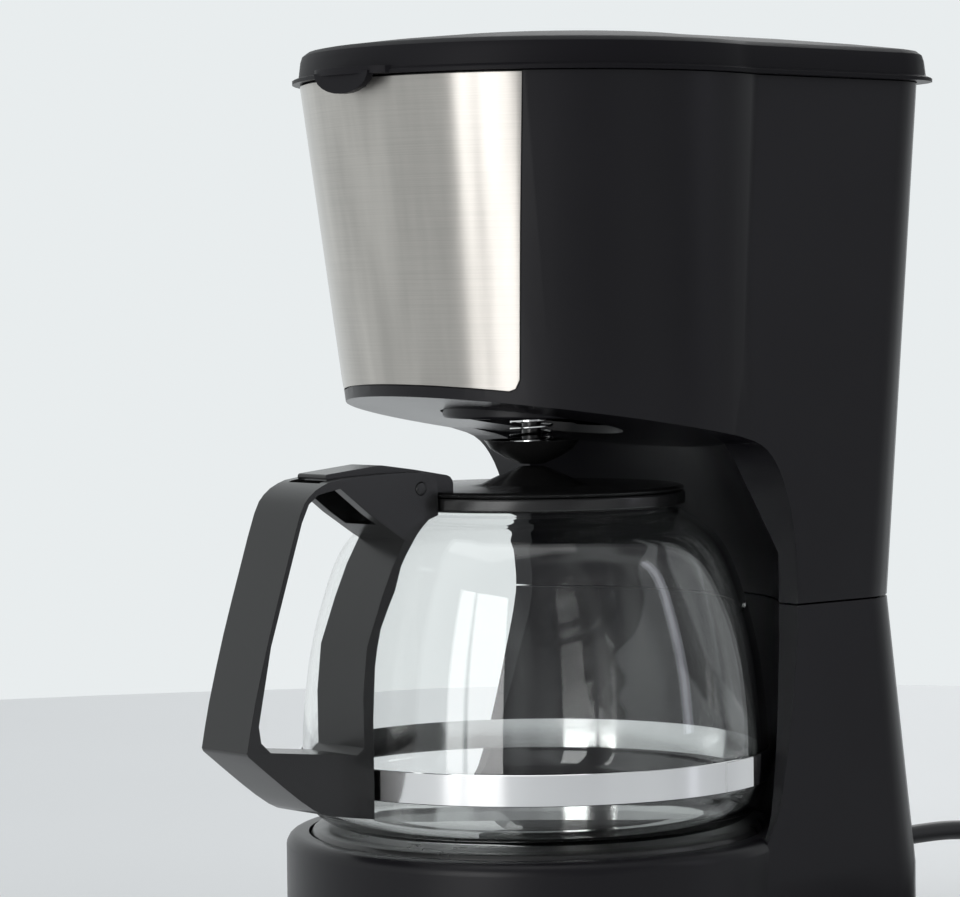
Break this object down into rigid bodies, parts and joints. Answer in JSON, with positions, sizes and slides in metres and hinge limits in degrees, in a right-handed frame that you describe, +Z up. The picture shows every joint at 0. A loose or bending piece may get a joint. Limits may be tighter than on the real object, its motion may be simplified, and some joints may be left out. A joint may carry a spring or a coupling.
{
  "type": "drip coffee maker",
  "caption": "Compact drip coffee maker: glass jug on a round warming plate, rear column with water tank, steel-fronted head, hinged lid.",
  "frame": {"origin": "on the counter, under the middle of the machine; the jug's axis passes through it", "axes": "+Z up, -Y towards the front where the jug's handle points, +X to the side that the mains cord leaves on"},
  "size_m": [0.2227, 0.378, 0.2905],
  "materials": {
    "satin_plastic": "satin",
    "gloss_plastic": "glossy",
    "inner_plastic": "matte",
    "rubber": "matte",
    "brushed_steel": "brushed",
    "polished_steel": "polished",
    "coated_steel": "satin",
    "aluminium": "satin",
    "glass": "clear",
    "red_lens": "glossy"
  },
  "bodies": {
    "machine": {"base_housing": "satin_plastic", "bottom_cover": "satin_plastic", "foot_front_left": "rubber", "foot_front_right": "rubber", "foot_rear_left": "rubber", "foot_rear_right": "rubber", "screw_front_left": "aluminium", "screw_front_right": "aluminium", "screw_rear_left": "aluminium", "screw_rear_right": "aluminium", "warming_plate": "coated_steel", "heating_rod": "aluminium", "boiler_pipe": "aluminium", "heater_strap": "brushed_steel", "thermostat": "aluminium", "thermal_fuse": "inner_plastic", "water_tank": "inner_plastic", "inlet_hose": "rubber", "check_valve": "inner_plastic", "tank_hose": "rubber", "riser_tube": "rubber", "switch_body": "satin_plastic", "upper_housing": "satin_plastic", "front_panel": "brushed_steel", "lid_hinge_pin": "aluminium", "cord_relief": "rubber", "cord_lead": "rubber", "cord_coil": "rubber", "cord_tail": "rubber", "plug_body": "rubber", "plug_blade_left": "polished_steel", "plug_blade_right": "polished_steel"},
    "lid": {"lid": "satin_plastic", "spray_head": "inner_plastic"},
    "basket": {"filter_basket": "satin_plastic", "drip_stop_spring": "polished_steel"},
    "drip_valve": {"drip_stop_stem": "gloss_plastic", "drip_stop_seal": "rubber"},
    "jug": {"jug_glass": "glass", "jug_band": "polished_steel", "jug_collar": "gloss_plastic", "jug_handle": "gloss_plastic", "jug_hinge_pin": "gloss_plastic", "band_screw": "polished_steel"},
    "jug_cover": {"jug_lid": "gloss_plastic"},
    "rocker": {"switch_rocker": "gloss_plastic", "switch_lens": "red_lens"}
  },
  "joints": [
    {"name": "lid_hinge", "type": "hinge", "parent": "machine", "child": "lid", "pos_m": [0, 0.1179, 0.2776], "axis": [-1, 0, 0], "range_deg": [0, 100]},
    {"name": "basket_lift", "type": "slide", "parent": "machine", "child": "basket", "axis": [0, 0, 1], "range_m": [0, 0.0873]},
    {"name": "drip_valve_slide", "type": "slide", "parent": "basket", "child": "drip_valve", "axis": [0, 0, 1], "range_m": [-0.004, 0], "deforming": ["drip_stop_spring"]},
    {"name": "jug_slide", "type": "slide", "parent": "machine", "child": "jug", "axis": [0, -1, 0], "range_m": [0, 0.32]},
    {"name": "jug_lid_hinge", "type": "hinge", "parent": "jug", "child": "jug_cover", "pos_m": [0, -0.0544, 0.1528], "axis": [1, 0, 0], "range_deg": [0, 26.6]},
    {"name": "switch_tip", "type": "hinge", "parent": "machine", "child": "rocker", "pos_m": [-0.068, 0.058, 0.024], "axis": [0, 1, 0], "range_deg": [-8, 8]}
  ],
  "couplings": [
    {"joint": "basket_lift", "follows": "lid_hinge", "m_per_rad": 0.05},
    {"joint": "drip_valve_slide", "follows": "jug_slide", "ratio": -0.0125},
    {"joint": "jug_lid_hinge", "follows": "jug_slide", "rad_per_m": 1.45}
  ]
}
